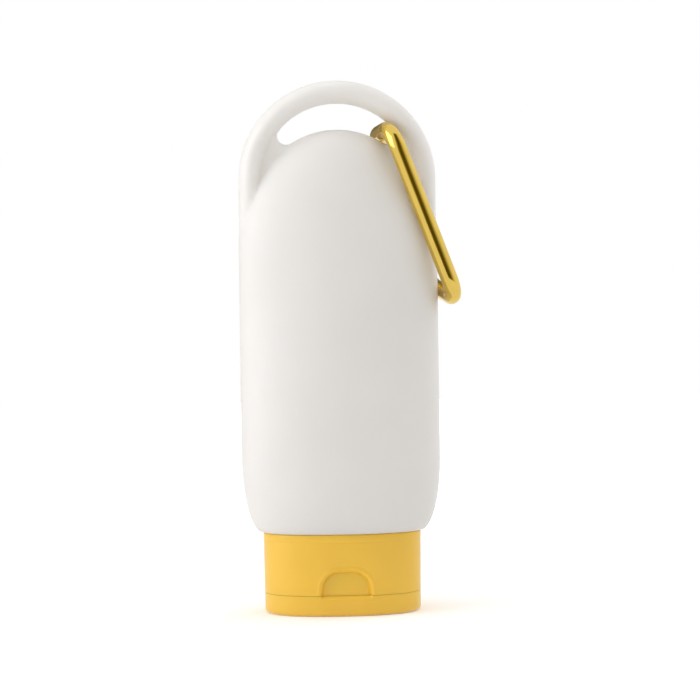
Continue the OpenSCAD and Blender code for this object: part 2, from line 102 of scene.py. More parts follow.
def sharpen(obj, degrees):
    """Keeps edges sharper than an angle hard, and shades the rest smooth."""
    obj.data.set_sharp_from_angle(angle=math.radians(degrees))


def weld(obj):
    """Joins points that lie on each other, and turns all faces outwards."""
    bm = bmesh.new()
    bm.from_mesh(obj.data)
    bmesh.ops.remove_doubles(bm, verts=bm.verts, dist=0.002 * MM)
    bmesh.ops.recalc_face_normals(bm, faces=bm.faces)
    bm.to_mesh(obj.data)
    bm.free()
    for polygon in obj.data.polygons:
        polygon.use_smooth = True


# Bottle: each form is a field of distances in millimetres, less than zero inside it

def quarter(u, power):
    """Height of a superellipse of radius 1 at a distance u from its middle."""
    return np.maximum(0, 1 - np.clip(u, 0, 1) ** power) ** (1 / power)


def foot_share(z):
    """How far the body is drawn in at a height of its foot, from 1 at its lower face to 0."""
    u = 1 - (z - FOOT_Z) / FOOT_ROUND
    lowest = quarter(np.array(CORNER_END), CORNER_POWER)
    return (1 - quarter(CORNER_END * u, CORNER_POWER)) / (1 - lowest)


def half_w(z):
    """Half the body's width at a height."""
    foot = BODY_W / 2 - (BODY_W - FOOT_W) / 2 * foot_share(z)
    dome = BODY_W / 2 * quarter((z - SHOULDER_Z) / DOME_H, DOME_POWER)
    return np.where(z < FOOT_Z + FOOT_ROUND, foot, np.where(z < SHOULDER_Z, BODY_W / 2, dome))


def half_d(z):
    """Half the body's depth at a height."""
    low = FOOT_Z + FOOT_ROUND
    foot = BODY_D / 2 - (BODY_D - FOOT_D) / 2 * foot_share(z)
    rest = BODY_D / 2 * quarter((z - low) / (DOME_TOP - low), DEPTH_POWER)
    return np.where(z < low, foot, rest)


def section_power(z):
    """Squareness of the body's section, as square as the cap at the foot and an ellipse higher up."""
    ellipse_from = 0.7 * (SHOULDER_Z - FOOT_Z)
    return OVAL_POWER - (OVAL_POWER - 2) * np.clip((z - FOOT_Z) / ellipse_from, 0, 1)


def smooth_min(a, b, k):
    """The union of two fields, blended over a distance k."""
    h = np.maximum(k - np.abs(a - b), 0) / k
    return np.minimum(a, b) - h * h * k / 4


def smooth_max(a, b, k):
    """What two fields share, blended over a distance k."""
    return -smooth_min(-a, -b, k)


def gradient(field, x, y, z):
    """Slope of a field along x, y and z, measured over a small step to either side."""
    step = 0.02
    return np.stack([
        field(x + step, y, z) - field(x - step, y, z),
        field(x, y + step, z) - field(x, y - step, z),
        field(x, y, z + step) - field(x, y, z - step),
    ], axis=-1) / (2 * step)


def belly_raw(x, y, z):
    """Distance from the body's side, measured level and away from its upright axis."""
    zc = np.clip(z, FOOT_Z, DOME_TOP - 1e-3)
    p = section_power(zc)
    rho = ((np.abs(x) / half_w(zc)) ** p + (np.abs(y) / half_d(zc)) ** p) ** (1 / p)
    r = np.hypot(x, y)
    return r - r / np.maximum(rho, 1e-9)


def belly(x, y, z):
    """The body with its dome."""
    least_slope, most_slope, top_gap = 0.6, 40, 0.02
    slope = np.linalg.norm(gradient(belly_raw, x, y, z), axis=-1)
    level = belly_raw(x, y, z) / np.clip(slope, least_slope, most_slope)
    return np.maximum(level, z - DOME_TOP - top_gap)


def band(x, y, z):
    """The loop's band: an arch on two legs that get less deep downwards."""
    u = np.clip((LOOP_Z - z) / (LOOP_Z - SHOULDER_Z), 0, 1)
    across = np.where(z > LOOP_Z, np.hypot(x, z - LOOP_Z), np.abs(x)) - BAND_MID
    half = BAND_D / 2 * (1 - 0.5 * u)
    q = np.hypot(across, y)
    e = np.hypot(across / (BAND_T / 2), y / half)
    return np.maximum(q - q / np.maximum(e, 1e-6), SHOULDER_Z - z)


def over_dome(x, z):
    """Distance from the dome's outline seen from the front, less than zero above it."""
    ex, ez = x / (BODY_W / 2), (z - SHOULDER_Z) / DOME_H
    slope = 2 * np.hypot(ex / (BODY_W / 2), ez / DOME_H)
    return (1 - ex * ex - ez * ez) / np.maximum(slope, 1e-6)


def end_of_hole():
    """Centre of the round at the hole's end, and the ways its two sides face there."""
    a = np.radians(np.linspace(-20, 60, 8001))
    x, z = (BAND_IN - HOLE_END_R) * np.cos(a), LOOP_Z + (BAND_IN - HOLE_END_R) * np.sin(a)
    at = np.argmin(np.abs(over_dome(x, z) + HOLE_END_R))
    outward = np.array([math.cos(a[at]), math.sin(a[at])])
    down = np.array([-x[at] / (BODY_W / 2) ** 2, -(z[at] - SHOULDER_Z) / DOME_H ** 2])
    return x[at], z[at], outward, down / np.linalg.norm(down)


END_X, END_Z, END_OUT, END_DOWN = end_of_hole()


def hole(x, z):
    """Distance from the hole's outline with its rounded ends, less than zero inside it."""
    under_band = np.hypot(x, z - LOOP_Z) - BAND_IN
    u, v = np.abs(x) - END_X, z - END_Z
    turn = END_OUT[0] * END_DOWN[1] - END_OUT[1] * END_DOWN[0]
    share_out = (u * END_DOWN[1] - v * END_DOWN[0]) / turn
    share_down = (END_OUT[0] * v - END_OUT[1] * u) / turn
    tip = (share_out > 0) & (share_down > 0)
    return np.where(tip, np.hypot(u, v) - HOLE_END_R, np.maximum(under_band, over_dome(x, z)))


def web(x, y, z):
    """The flat web that closes the loop to the dome beside its hole, and fades out upwards."""
    fade = np.clip((DOME_TOP + WEB_FADE - z) / (2 * WEB_FADE), 0, 1)
    plate = np.abs(y) - WEB_T / 2 * fade
    region = np.maximum(-hole(x, z), np.hypot(x, np.maximum(z - LOOP_Z, 0)) - BAND_MID)
    region = np.maximum(region, SHOULDER_Z + WEB_FOOT - z)
    return smooth_max(plate, region, WEB_EDGE_SOFT)


def bottle_field(x, y, z):
    """The whole bottle, with its neck and the neck's bore."""
    skin = smooth_max(belly(x, y, z), FOOT_Z - z, FOOT_SOFT)
    skin = smooth_min(skin, band(x, y, z), BAND_SOFT)
    skin = smooth_min(skin, web(x, y, z), WEB_SOFT)
    r = np.hypot(x, y)
    neck = np.maximum(smooth_max(r - NECK_R, NECK_END - z, NECK_SOFT), z - FOOT_Z - 1)
    skin = np.minimum(skin, neck)
    return np.maximum(skin, -np.maximum(r - NECK_BORE, z - BORE_TOP))


def crossings(values, index):
    """Mean place, within each grid cell, where its edges cross the surface."""
    places = np.zeros((len(index), 3))
    hits = np.zeros(len(index))
    for a in np.ndindex(2, 2, 2):
        for axis in range(3):
            if a[axis]:
                continue
            b = list(a)
            b[axis] = 1
            va = values[tuple((index + a).T)]
            vb = values[tuple((index + b).T)]
            cross = (va < 0) != (vb < 0)
            share = np.where(cross, va / np.where(cross, va - vb, 1), 0)
            spot = np.array(a, float) + share[:, None] * (np.array(b) - np.array(a))
            places[cross] += spot[cross]
            hits[cross] += 1
    return places / hits[:, None]


def surface_nets(field, low, high, pitch):
    """Points and quads over the surface where a field is zero, one point in each cell it passes."""
    low = np.array(low, float)
    counts = [int(round((h - l) / pitch)) + 1 for l, h in zip(low, high)]
    axes = [low[i] + pitch * np.arange(counts[i]) for i in range(3)]
    values = field(*np.meshgrid(*axes, indexing="ij"))
    inside = values < 0
    cells = [c - 1 for c in counts]
    total = sum(inside[i:i + cells[0], j:j + cells[1], k:k + cells[2]].astype(int)
                for i, j, k in np.ndindex(2, 2, 2))
    active = (total > 0) & (total < 8)
    index = np.argwhere(active)
    ids = np.full(cells, -1)
    ids[active] = np.arange(len(index))
    points = low + pitch * (index + crossings(values, index))
    quads = []
    for d in range(3):
        e, f = (d + 1) % 3, (d + 2) % 3
        unit_e, unit_f = np.eye(3, dtype=int)[e], np.eye(3, dtype=int)[f]
        here = [slice(None)] * 3
        there = [slice(None)] * 3
        here[d], there[d] = slice(0, counts[d] - 1), slice(1, counts[d])
        a_in, b_in = inside[tuple(here)], inside[tuple(there)]
        for first, second, flip in ((a_in, ~b_in, False), (~a_in, b_in, True)):
            g = np.argwhere(first & second)
            g = g[(g[:, e] > 0) & (g[:, f] > 0) & (g[:, e] < counts[e] - 1) & (g[:, f] < counts[f] - 1)]
            ring = [ids[tuple((g - o).T)] for o in (0 * unit_e, unit_e, unit_e + unit_f, unit_f)]
            quad = np.stack(ring, axis=1)
            quads.append(quad[:, ::-1] if flip else quad)
    return points, np.concatenate(quads)


def settle(field, points, quads, rounds):
    """Evens out the points along the surface and brings them exactly onto it."""
    longest_step = 0.3
    a = quads.ravel()
    b = np.roll(quads, -1, axis=1).ravel()
    degree = np.bincount(a, minlength=len(points)) + np.bincount(b, minlength=len(points))
    for _ in range(rounds):
        mean = np.stack([
            np.bincount(a, points[b, i], len(points)) + np.bincount(b, points[a, i], len(points))
            for i in range(3)], axis=1) / degree[:, None]
        points = points + 0.5 * (mean - points)
        for _ in range(2):
            value = field(*points.T)
            slope = gradient(field, *points.T)
            step = (value / np.maximum((slope ** 2).sum(1), 1e-3))[:, None] * slope
            length = np.linalg.norm(step, axis=1, keepdims=True)
            points = points - step * np.minimum(1, longest_step / np.maximum(length, 1e-9))
    return points


def make_bottle():
    pitch = 0.5
    low, high = (-21.75, -13.25, 6.3), (21.75, 13.25, 112.3)
    points, quads = surface_nets(bottle_field, low, high, pitch)
    obj = node_object("bottle_skin", settle(bottle_field, points, quads, rounds=3), quads)
    sharpen(obj, 50)
    return obj


# Cap: each half is a skin through rings of points, with the recess and bevels pressed into it

# Degrees round the oval, closer together where the thumb recess is
ANGLES = np.concatenate([np.arange(0, 248, 1.55), np.linspace(248, 292, 111), np.arange(293.5, 359.5, 1.55)])


def oval(inset, z):
    """Ring at a height, drawn in from the cap's full outline by an inset."""
    c, s = np.cos(np.radians(ANGLES)), np.sin(np.radians(ANGLES))
    x = (CAP_W / 2 - inset) * np.sign(c) * np.abs(c) ** (2 / OVAL_POWER)
    y = (CAP_D / 2 - inset) * np.sign(s) * np.abs(s) ** (2 / OVAL_POWER)
    return np.stack([x, y, np.full_like(x, z)], axis=1)


def circle(r, z):
    """Round ring at a height, with its points in the same directions as the oval's."""
    flat = oval(DRAFT, 0)
    a = np.arctan2(flat[:, 1], flat[:, 0])
    return np.stack([r * np.cos(a), r * np.sin(a), np.full_like(a, z)], axis=1)


def ovals(profile):
    """Oval rings from pairs of inset and height."""
    return [oval(inset, z) for inset, z in profile]


def circles(profile):
    """Round rings from pairs of radius and height."""
    return [circle(r, z) for r, z in profile]


def between(start, end, shares):
    """Rings at shares of the way from one ring to another."""
    return [start + (end - start) * share for share in shares]


def lower_edge(inset, z, r, count):
    """Profile round a lower edge, from the flat face out to the wall."""
    return [(inset + r * (1 - math.sin(t)), z + r * (1 - math.cos(t)))
            for t in np.linspace(0, math.pi / 2, count)]


def upper_edge(inset, z, r, count):
    """Profile round an upper edge, from the wall in to the flat face."""
    return [(inset + r * (1 - math.cos(t)), z - r * (1 - math.sin(t)))
            for t in np.linspace(0, math.pi / 2, count)]


def skin_rings(rings, closed):
    """Quads between rings that run from the first to the last, with a fan at each end if closed."""
    count = len(rings[0])
    points = np.concatenate(rings)
    i = np.arange(count)
    j = (i + 1) % count
    faces = []
    for k in range(len(rings) - 1):
        a, b = k * count, (k + 1) * count
        faces += np.stack([a + i, a + j, b + j, b + i], axis=1).tolist()
    if closed:
        first, last = len(points), (len(rings) - 1) * count
        points = np.vstack([points, rings[0].mean(0), rings[-1].mean(0)])
        faces += [[first, q, p] for p, q in zip(i.tolist(), j.tolist())]
        faces += [[first + 1, last + p, last + q] for p, q in zip(i.tolist(), j.tolist())]
    return points, faces


def recess_distance(x, z):
    """Distance inside the thumb recess's outline."""
    h = z - BASE_Z
    half = RECESS_W / 2 - RECESS_FLARE * h / RECESS_H
    tilt = math.atan2(RECESS_FLARE, RECESS_H)
    a = (np.abs(x) - half) * math.cos(tilt) + RECESS_R
    b = h - RECESS_H + RECESS_R
    return -(np.minimum(np.maximum(a, b), 0) + np.hypot(np.maximum(a, 0), np.maximum(b, 0)) - RECESS_R)


def smooth_step(v):
    """Rises softly from 0 to 1 as v goes from 0 to 1."""
    v = np.clip(v, 0, 1)
    return v * v * (3 - 2 * v)


def front_wall(x):
    """How far the cap's front stands out from its middle."""
    share = np.clip(np.abs(x) / (CAP_W / 2 - DRAFT), 0, 1)
    return (CAP_D / 2 - DRAFT) * (1 - share ** OVAL_POWER) ** (1 / OVAL_POWER)


def press(points, depth, where):
    """Presses the front wall in by a depth at each point."""
    out = points.copy()
    limit = front_wall(points[:, 0]) - depth
    move = where & (points[:, 1] < 0) & (depth > 1e-4) & (-points[:, 1] > limit)
    out[move, 1] = -limit[move]
    return out


def carve_recess(points):
    """Presses the thumb recess into the front wall, with a rounded and slightly raised rim."""
    roll_from, roll_w, roll_share = -0.5, 0.85, 0.6
    step_from, step_w = -0.2, 0.55
    raised_at, raised_w, raised_h = -0.6, 0.3, 0.1
    below_rim, skin_t = 4, 0.02
    d = recess_distance(points[:, 0], points[:, 2])
    u = np.clip((d - roll_from) / roll_w, 0, 1)
    roll = 1 - np.sqrt(np.maximum(1 - u * u, 0))
    step = smooth_step((d - step_from) / step_w)
    low = points[:, 2] < RIM_Z - below_rim
    out = press(points, RECESS_DEPTH * (roll_share * roll + (1 - roll_share) * step), low)
    outer = (points[:, 1] < 0) & (-points[:, 1] > front_wall(points[:, 0]) - skin_t) & low
    out[outer, 1] -= raised_h * np.exp(-((d[outer] - raised_at) / raised_w) ** 2)
    return out


def bevel_lid(points):
    """Bevels the lid's upper edge below the thumb recess."""
    deep, start_z, rise, half, fade = 0.55, 3.5, 0.7, 5.4, 0.5
    x, z = np.abs(points[:, 0]), points[:, 2]
    depth = deep * smooth_step((z - start_z) / rise) * smooth_step((half - x) / fade)
    return press(points, depth, z > start_z - 0.1)


def clear_hinge(points):
    """Leaves room for the film hinge's strip."""
    out = points.copy()
    dz = points[:, 2] - HINGE_Z
    gap = HINGE_R + HINGE_GAP
    reach = np.sqrt(np.maximum(gap * gap - dz * dz, 0))
    near = (np.abs(points[:, 0]) < HINGE_W / 2 + 0.3) & (points[:, 1] > 0) & (np.abs(dz) < gap)
    move = near & (points[:, 1] > HINGE_Y - reach)
    out[move, 1] = HINGE_Y - reach[move]
    return out


def wall_inset(z):
    """Inset of the base's outer wall, which leans out from its parting line to its rim."""
    return DRAFT - DRAFT / (RIM_Z - BASE_Z) * (z - BASE_Z)


def make_cap_base():
    """The cap's fixed half: spout, parting face, outer wall, rim and deck, in that order."""
    tip = BASE_Z - SPOUT_H
    lip, lip_low = DRAFT + WALL + PLUG_GAP, BASE_Z - LIP_H
    rings = circles([
        (ORIFICE_R, DECK_TOP), (ORIFICE_R, tip + 0.15), (ORIFICE_R + 0.15, tip),
        (SPOUT_R - 0.25, tip), (SPOUT_R - 0.07, tip + 0.07), (SPOUT_R, tip + 0.25),
        (SPOUT_R, BASE_Z - 0.15), (SPOUT_R + 0.15, BASE_Z)])
    rings += between(circle(SPOUT_R + 0.3, BASE_Z), oval(lip + LIP_T, BASE_Z), (0, 0.25, 0.5, 0.75, 0.98, 1))
    # the low lip that reaches into the lid, and the parting face outside it
    rings += ovals([
        (lip + LIP_T, lip_low + 0.1), (lip + LIP_T - 0.1, lip_low), (lip + 0.1, lip_low),
        (lip, lip_low + 0.1), (lip, BASE_Z - 0.05), (lip - 0.05, BASE_Z)])
    rings += ovals((DRAFT + inset, BASE_Z) for inset in (1.15, 1.0, 0.8, 0.5, 0.3))
    rings += ovals(lower_edge(DRAFT, BASE_Z, 0.07, 5))
    # the outer wall, in close steps up to where the thumb recess ends
    close = np.arange(BASE_Z + 0.2, BASE_Z + 6.4, 0.12)
    wide = np.arange(BASE_Z + 6.8, RIM_Z - 2.2, 0.8)
    rings += ovals((wall_inset(z), z) for z in np.concatenate([close, wide]))
    # a faint groove below the rim, and the rim
    groove_z, rim_out = RIM_Z - 1.62, 0.02
    groove = ((-0.35, 0.0), (-0.15, 0.005), (0, 0.03), (0.15, -0.005), (0.35, -rim_out))
    rings += ovals((wall_inset(groove_z + dz) + depth, groove_z + dz) for dz, depth in groove)
    rings.append(oval(wall_inset(RIM_Z - 0.7) - rim_out, RIM_Z - 0.7))
    rings += ovals(upper_edge(-rim_out, RIM_Z, 0.35, 6))
    inner = DRAFT + WALL
    rings += ovals([(inner - 0.1, RIM_Z), (inner, RIM_Z - 0.1), (inner, DECK_TOP)])
    rings += between(oval(inner, DECK_TOP), circle(ORIFICE_R, DECK_TOP), (0.25, 0.5, 0.75, 1))
    points, faces = skin_rings(rings, closed=False)
    obj = node_object("cap_base_skin", clear_hinge(carve_recess(points)), faces)
    weld(obj)
    sharpen(obj, 40)
    return obj


def make_lid():
    """The lid: flat underside, wall, tray floor, seal ring and plug pin, in that order."""
    inner, top = DRAFT + WALL, LID_H
    seal_in, seal_top = SPOUT_R + PLUG_GAP, LID_FLOOR + SEAL_H
    seal_out = seal_in + SEAL_WALL
    plug_r, plug_top = ORIFICE_R - PLUG_GAP, LID_FLOOR + PLUG_H
    flat = oval(DRAFT + LID_EDGE, 0)
    rings = [flat * np.array([share, share, 1]) for share in (0.25, 0.5, 0.8, 0.97)]
    rings += ovals(lower_edge(DRAFT, 0, LID_EDGE, 9))
    rings += ovals((DRAFT, z) for z in (1.6, 2.4, 3.0, 3.4, 3.5, 3.6, 3.7, 3.8, 3.9, 4.0, 4.1, top - 0.09))
    rings += ovals(upper_edge(DRAFT, top, 0.06, 4))
    rings += ovals((DRAFT + inset, top) for inset in (0.2, 0.4, 0.6, WALL - 0.4))
    rings += ovals([
        (inner - 0.1, top), (inner, top - 0.1), (inner, LID_FLOOR + 0.3), (inner + 0.09, LID_FLOOR + 0.09)])
    rings += between(oval(inner + 0.3, LID_FLOOR), circle(seal_out + 0.2, LID_FLOOR), (0, 0.25, 0.5, 0.75, 1))
    rings += circles([
        (seal_out, LID_FLOOR + 0.2), (seal_out, seal_top - 0.15), (seal_out - 0.15, seal_top),
        (seal_in + 0.15, seal_top), (seal_in, seal_top - 0.15), (seal_in, LID_FLOOR + 0.15),
        (seal_in - 0.15, LID_FLOOR), (plug_r + 0.2, LID_FLOOR), (plug_r, LID_FLOOR + 0.2),
        (plug_r, plug_top - 0.4), (plug_r - 0.12, plug_top - 0.16), (plug_r - 0.35, plug_top)])
    points, faces = skin_rings(rings, closed=True)
    obj = node_object("cap_lid_skin", clear_hinge(bevel_lid(points)), faces)
    weld(obj)
    sharpen(obj, 40)
    return obj


# Carabiner: drawn in its own plane, where s runs back to the gate's side and t down its length

def carabiner_frame():
    """The wire's place in the loop's hole and the carabiner's directions s, t and across."""
    joints = {joint["name"]: joint for joint in frame["record"]["behaviour"]["joints"]}
    pivot = np.array(joints["carabiner_swing"]["pos_m"]) / MM
    s = -np.array(joints["carabiner_swing"]["axis"])
    n = np.array(joints["gate_open"]["axis"])
    s, n = s / np.linalg.norm(s), n / np.linalg.norm(n)
    return pivot, s, np.cross(n, s), n


PIVOT, S_AXIS, T_AXIS, N_AXIS = carabiner_frame()


def spine_offset():
    """Distance from the wire in the hole to the spine's centre line, measured on the CAD wire."""
    vertices = frame["nodes"]["carabiner_frame"].data.vertices
    points = np.array([tuple(vertex.co) for vertex in vertices]) / MM
    return -((points - PIVOT) @ S_AXIS).min() - WIRE_R


# Centres of the four bends, and the gate's lean away from the t direction
SPINE_OFF = spine_offset()
TOP_CENTRE = np.array([GATE_OFF - GATE_INSET - TOP_BEND, TOP_BEND])
SPINE_CENTRE = np.array([SPINE_BEND - SPINE_OFF, SPINE_BEND])
FOOT_CENTRE = np.array([FOOT_BEND - SPINE_OFF, WIRE_L - FOOT_BEND])
LOW_S = GATE_OFF - LOW_BEND
BEND_STEP = LOW_BEND - FOOT_BEND
FOOT_RUN = (LOW_S - FOOT_CENTRE[0] + BEND_STEP * math.sin(FOOT_RISE)) / math.cos(FOOT_RISE)
LOW_T = FOOT_CENTRE[1] - BEND_STEP * math.cos(FOOT_RISE) - FOOT_RUN * math.sin(FOOT_RISE)
LOW_CENTRE = np.array([LOW_S, LOW_T])
GATE_SPAN = LOW_CENTRE - TOP_CENTRE
LEAN = math.asin((LOW_BEND - TOP_BEND) / np.linalg.norm(GATE_SPAN)) + math.atan(GATE_SPAN[0] / GATE_SPAN[1])

# Along the gate, from its rivet to its nose
ALONG, OUTWARD = np.array([math.sin(LEAN), math.cos(LEAN)]), np.array([math.cos(LEAN), -math.sin(LEAN)])
GATE_TOP, GATE_LOW = TOP_CENTRE + TOP_BEND * OUTWARD, LOW_CENTRE + LOW_BEND * OUTWARD
RIVET_AT = GATE_TOP + (STUB + TANG_L) * ALONG
GATE_L = np.linalg.norm(GATE_LOW - GATE_TOP) - STUB - TANG_L - NOSE_STUB - GATE_END_GAP
CATCH_AT = GATE_L - NOSE_SLOT / 2 + 0.1


def in_plane(points):
    """Places points (s, t, across) of the carabiner's own plane."""
    points = np.asarray(points, float)
    return PIVOT + points[:, :1] * S_AXIS + points[:, 1:2] * T_AXIS + points[:, 2:3] * N_AXIS


def at_gate(points):
    """Places points given along the gate from its rivet, outwards, and across the plane."""
    points = np.asarray(points, float)
    flat = RIVET_AT + points[:, :1] * ALONG + points[:, 1:2] * OUTWARD
    return in_plane(np.column_stack([flat, points[:, 2]]))


def bend(centre, r, start, end):
    """Points round a bend, from one angle in degrees to another, with the way the wire runs."""
    turn = 1 if end > start else -1
    count = max(8, int(abs(end - start) / 3))
    return [(centre + r * np.array([math.cos(a), math.sin(a)]), turn * np.array([-math.sin(a), math.cos(a)]))
            for a in np.radians(np.linspace(start, end, count))]


def wire_path():
    """Centre line of the bent wire, from the gate's hinge end round to its nose end, with the way it runs."""
    longest_step = 0.8
    lean, rise = math.degrees(LEAN), math.degrees(FOOT_RISE)
    line = [(GATE_TOP + STUB * ALONG, -ALONG)]
    line += bend(TOP_CENTRE, TOP_BEND, -lean, -90)
    line += bend(SPINE_CENTRE, SPINE_BEND, 270, 180)
    line += bend(FOOT_CENTRE, FOOT_BEND, 180, 90 - rise)
    line += bend(LOW_CENTRE, LOW_BEND, 90 - rise, -lean)
    line.append((GATE_LOW - NOSE_STUB * ALONG, -ALONG))
    dense = [line[0]]
    for (p, d), (q, e) in zip(line, line[1:]):
        parts = max(1, int(np.linalg.norm(q - p) / longest_step))
        for k in range(1, parts + 1):
            way = d + (e - d) * k / parts
            dense.append((p + (q - p) * k / parts, way / np.linalg.norm(way)))
    return dense


def running_length(spots):
    """Distance along a line of points, from its start to each point."""
    steps = [np.linalg.norm(b - a) for a, b in zip(spots, spots[1:])]
    return np.concatenate([[0], np.cumsum(steps)])


def add_wire_uv(obj, sides, run):
    """Lays the UV round the wire in u and along it in v."""
    layer = obj.data.uv_layers.new(name="wire")
    rows, middles = len(run), len(run) * sides
    for polygon in obj.data.polygons:
        around = [(v % sides) if v < middles else 0 for v in polygon.vertices]
        wraps = max(around) - min(around) > sides / 2
        for loop, v, k in zip(polygon.loop_indices, polygon.vertices, around):
            row = min(v // sides, rows - 1) if v < middles else (0 if v == middles else rows - 1)
            lap = sides if wraps and k < sides / 2 else 0
            layer.data[loop].uv = ((k + lap) / sides, run[row] / run[-1])


def make_wire():
    """The bent wire, a round skin whose cut ends are softly rounded."""
    sides, edge = 48, 0.3
    path = wire_path()
    length = running_length([spot for spot, _ in path])
    turn = np.linspace(0, math.pi / 2, 5)
    start = [(*path[0], WIRE_R - edge * (1 - math.sin(a)), edge * (1 - math.cos(a))) for a in turn]
    end = [(*path[-1], WIRE_R - edge * (1 - math.cos(a)), edge * (math.sin(a) - 1)) for a in turn]
    middle = [(spot, way, WIRE_R, 0) for (spot, way), at in zip(path, length)
              if edge < at < length[-1] - edge]
    angles = np.linspace(0, 2 * math.pi, sides, endpoint=False)
    rings, centres = [], []
    for spot, way, r, shift in start + middle + end:
        side = np.array([-way[1], way[0]])
        centres.append(spot + shift * way)
        flat = centres[-1] + r * np.cos(angles)[:, None] * side
        rings.append(in_plane(np.column_stack([flat, r * np.sin(angles)])))
    points, faces = skin_rings(rings, closed=True)
    obj = node_object("carabiner_wire", points, faces)
    add_wire_uv(obj, sides, running_length(centres))
    return obj


def plate(name, outline):
    """A flat tongue of the wire with bevelled edges, from an outline along the gate and outwards."""
    count = len(outline)
    points = [(x, y, -TONGUE / 2) for x, y in outline] + [(x, y, TONGUE / 2) for x, y in outline]
    faces = [list(range(count))[::-1], list(range(count, 2 * count))]
    faces += [[i, (i + 1) % count, count + (i + 1) % count, count + i] for i in range(count)]
    obj = node_object(name, at_gate(points), faces, smooth=False)
    bm = bmesh.new()
    bm.from_mesh(obj.data)
    bmesh.ops.recalc_face_normals(bm, faces=bm.faces)
    rims = [e for e in bm.edges if e.calc_length() > 0 and len(e.link_faces) == 2
            and any(len(f.verts) == count for f in e.link_faces)]
    bmesh.ops.bevel(bm, geom=rims, offset=0.1 * MM, segments=2, affect="EDGES", profile=0.5)
    bm.to_mesh(obj.data)
    bm.free()
    sharpen(obj, 30)
    return obj


def make_tang():
    """The tongue that the gate's rivet goes through, with a flat end for the plunger."""
    root = -TANG_L - TONGUE_SUNK
    arc = [(TANG_R * math.cos(a), TANG_R * math.sin(a)) for a in np.radians(np.linspace(-90, 90, 31))]
    end = [(min(x, TANG_FLAT), y) for x, y in arc]
    return plate("carabiner_tang", [(root, -TANG_R)] + end + [(root, TANG_R)])


def make_nose():
    """The notched tongue that holds the gate's catch pin."""
    slot_room, chamfer, half = 0.5, 0.5, NOTCH_W / 2
    start, root = GATE_L - NOSE_SLOT + slot_room, GATE_L + GATE_END_GAP + TONGUE_SUNK
    turn = np.radians(np.linspace(180, 0, 15))
    notch = [(CATCH_AT + half * math.cos(a), half * math.sin(a)) for a in turn]
    outline = [(start, -TANG_R), (CATCH_AT - half, -TANG_R)] + notch
    outline += [(CATCH_AT + half, -TANG_R), (root, -TANG_R), (root, TANG_R)]
    outline += [(start + chamfer, TANG_R), (start, TANG_R - chamfer)]
    return plate("carabiner_nose", outline)


def smooth_copy(name, node):
    """A copy of a CAD node with smooth round faces and crisp edges."""
    obj = bpy.data.objects.new(name, frame["nodes"][node].data.copy())
    bpy.context.scene.collection.objects.link(obj)
    obj.matrix_world = frame["nodes"][node].matrix_world.copy()
    weld(obj)
    sharpen(obj, 35)
    return obj


# Materials

def add_node(tree, kind, **settings):
    """Adds a shader node. A setting that starts with in_ goes to the socket of that name."""
    node = tree.nodes.new(kind)
    for key, value in settings.items():
        if key.startswith("in_"):
            node.inputs[key[3:].replace("_", " ")].default_value = value
        else:
            setattr(node, key, value)
    return node


class Finish:
    """A material whose colour, roughness and bumps come from a few noises."""

    def __init__(self, name, colour, roughness, metallic=0.0):
        self.material = bpy.data.materials.new(name)
        self.material.use_nodes = True
        self.tree = self.material.node_tree
        self.shader = self.tree.nodes["Principled BSDF"]
        self.shader.inputs["Base Color"].default_value = (*colour, 1)
        self.shader.inputs["Roughness"].default_value = roughness
        self.shader.inputs["Metallic"].default_value = metallic
        self.material.diffuse_color = (*colour, 1)

    def add(self, kind, **settings):
        return add_node(self.tree, kind, **settings)

    def link(self, a, b):
        self.tree.links.new(a, b)

    def scatter(self, weight, radius, scale):
        """Lets light into the surface. The radius is a colour, and the scale is in metres."""
        self.shader.inputs["Subsurface Weight"].default_value = weight
        self.shader.inputs["Subsurface Radius"].default_value = radius
        self.shader.inputs["Subsurface Scale"].default_value = scale

    def noise(self, size_mm, detail, where=None, stretch=None):
        """Noise with features of about that size."""
        source = where or self.add("ShaderNodeTexCoord").outputs["Object"]
        if stretch:
            mapping = self.add("ShaderNodeMapping")
            mapping.inputs["Scale"].default_value = stretch
            self.link(source, mapping.inputs["Vector"])
            source = mapping.outputs["Vector"]
        noise = self.add("ShaderNodeTexNoise", in_Scale=1000 / size_mm, in_Detail=detail)
        self.link(source, noise.inputs["Vector"])
        return noise.outputs["Fac"]

    def scale(self, value, low, high):
        """Spreads a noise's usual values over a range."""
        node = self.add("ShaderNodeMapRange", in_From_Min=0.3, in_From_Max=0.7, in_To_Min=low, in_To_Max=high)
        self.link(value, node.inputs["Value"])
        return node.outputs["Result"]

    def tint(self, size_mm, detail, a, b):
        """Lets the colour drift between two colours."""
        node = self.add("ShaderNodeMix", data_type="RGBA")
        node.inputs["A"].default_value = (*a, 1)
        node.inputs["B"].default_value = (*b, 1)
        self.link(self.scale(self.noise(size_mm, detail), 0, 1), node.inputs["Factor"])
        self.link(node.outputs["Result"], self.shader.inputs["Base Color"])

    def rough(self, value, low, high):
        """Lets the roughness drift between two values."""
        self.link(self.scale(value, low, high), self.shader.inputs["Roughness"])

    def bumps(self, *layers):
        """Bump layers, each (height, depth in mm)."""
        last = None
        for height, depth in layers:
            bump = self.add("ShaderNodeBump", in_Strength=1.0, in_Distance=depth * MM)
            self.link(height, bump.inputs["Height"])
            if last:
                self.link(last.outputs["Normal"], bump.inputs["Normal"])
            last = bump
        self.link(last.outputs["Normal"], self.shader.inputs["Normal"])


def times(colour, k):
    """A colour made lighter or darker by a factor."""
    return tuple(c * k for c in colour)


